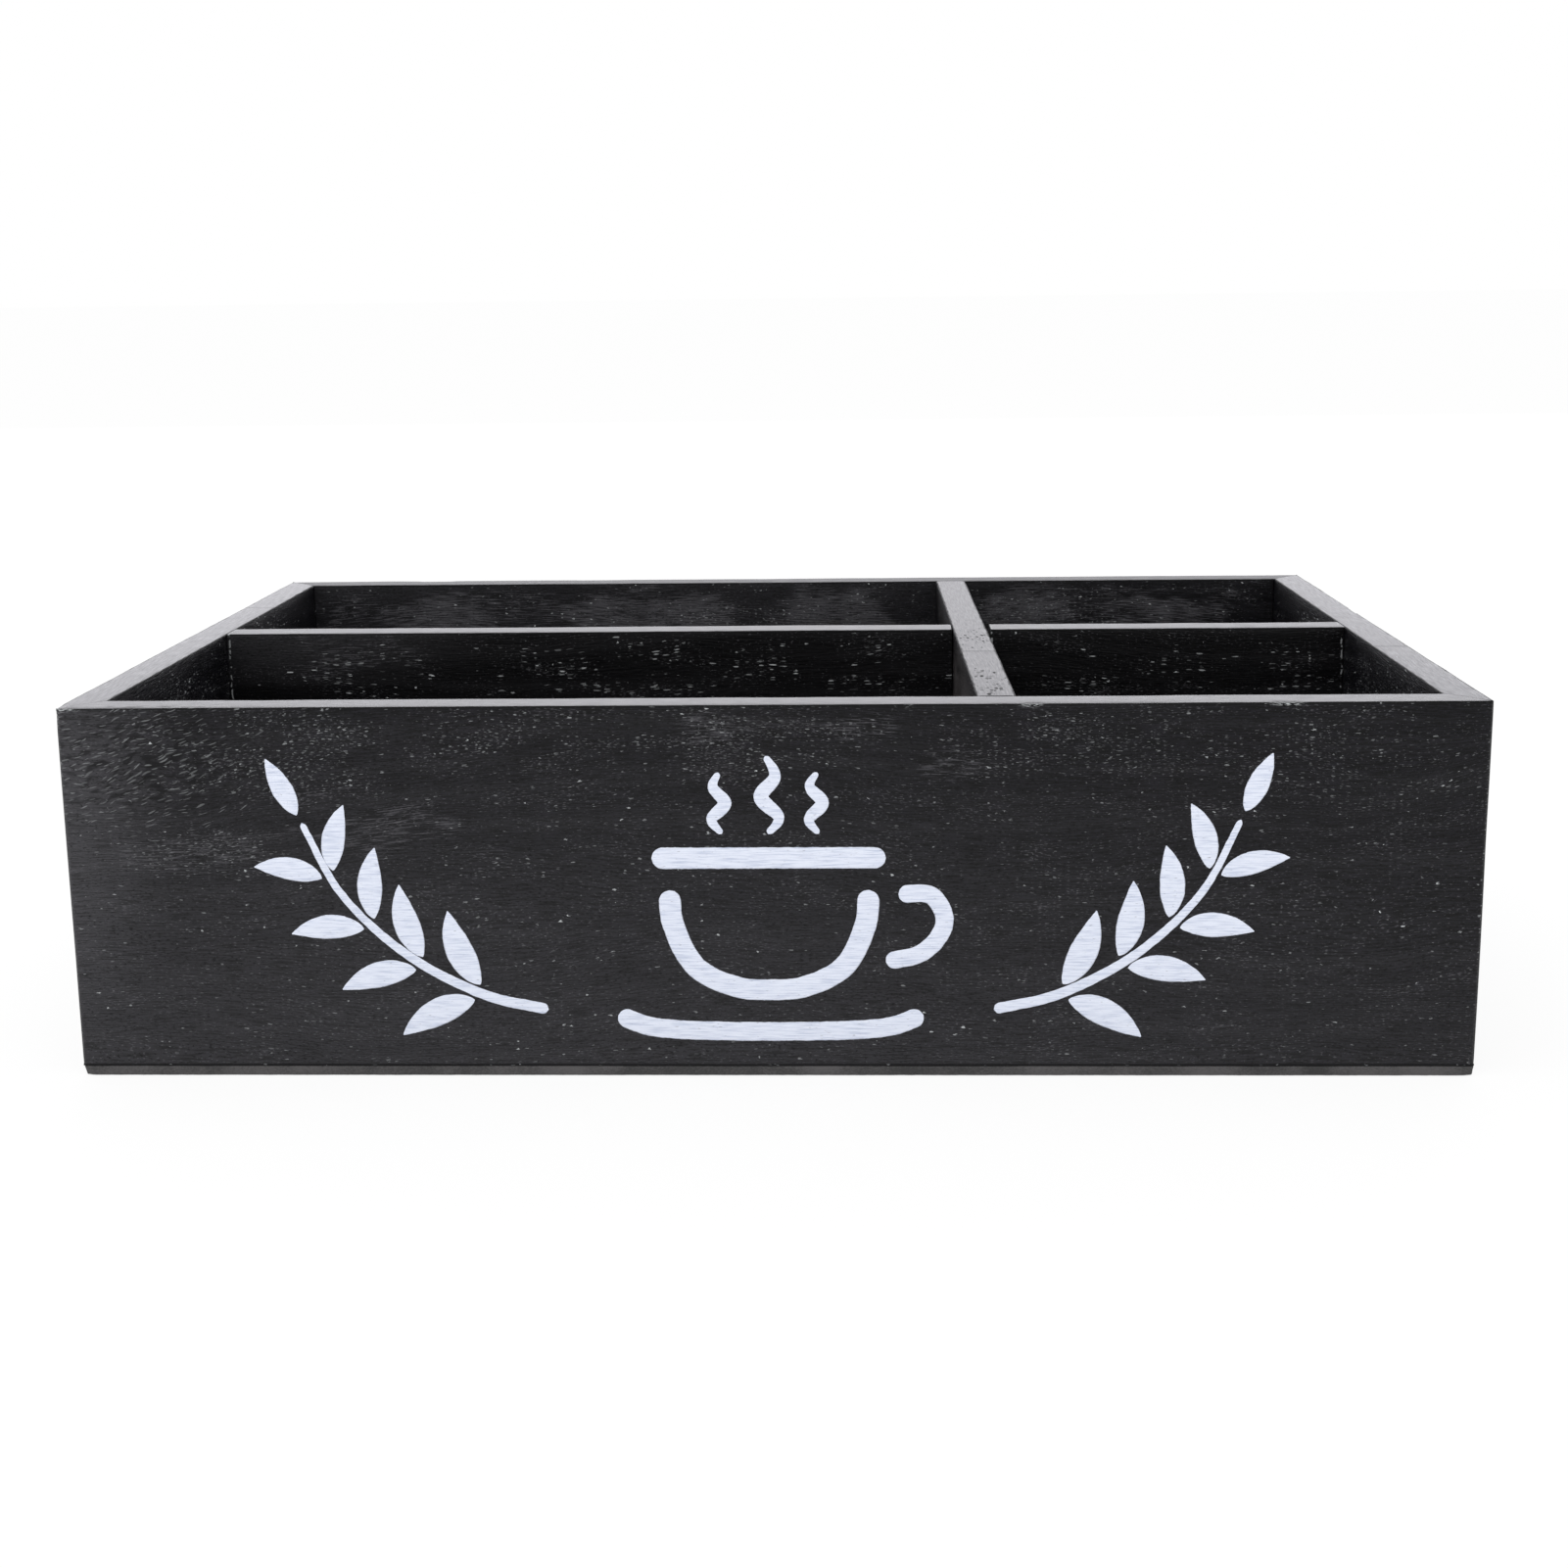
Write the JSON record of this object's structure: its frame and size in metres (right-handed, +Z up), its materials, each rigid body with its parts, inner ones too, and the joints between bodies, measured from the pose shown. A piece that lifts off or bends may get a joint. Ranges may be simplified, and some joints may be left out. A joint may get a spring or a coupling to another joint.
{
  "type": "countertop organizer box",
  "caption": "Open-topped rectangular wooden organizer box with mitred walls, a thin base panel and crossing dividers that part it into compartments for countertop supplies.",
  "frame": {"origin": "middle of the underside of the base panel", "axes": "+Z up, +X to the right as seen from the front, front faces -Y"},
  "size_m": [0.34, 0.215, 0.0925],
  "materials": {
    "painted_boards": "satin black paint on open-pored softwood boards, rubbed through along the edges",
    "base_fibreboard": "thin fibreboard, painted black on its faces, raw brown-grey edge",
    "fastener_steel": "bright flat wire, galvanised"
  },
  "bodies": {
    "root": {"front_wall": "painted_boards", "back_wall": "painted_boards", "left_wall": "painted_boards", "right_wall": "painted_boards", "base_panel": "base_fibreboard", "long_divider": "painted_boards", "cross_divider": "painted_boards", "left_corner_brads": "fastener_steel", "right_corner_brads": "fastener_steel", "left_divider_brads": "fastener_steel", "right_divider_brads": "fastener_steel", "back_divider_brads": "fastener_steel", "base_wall_staples": "fastener_steel", "base_divider_staples": "fastener_steel"}
  },
  "joints": []
}
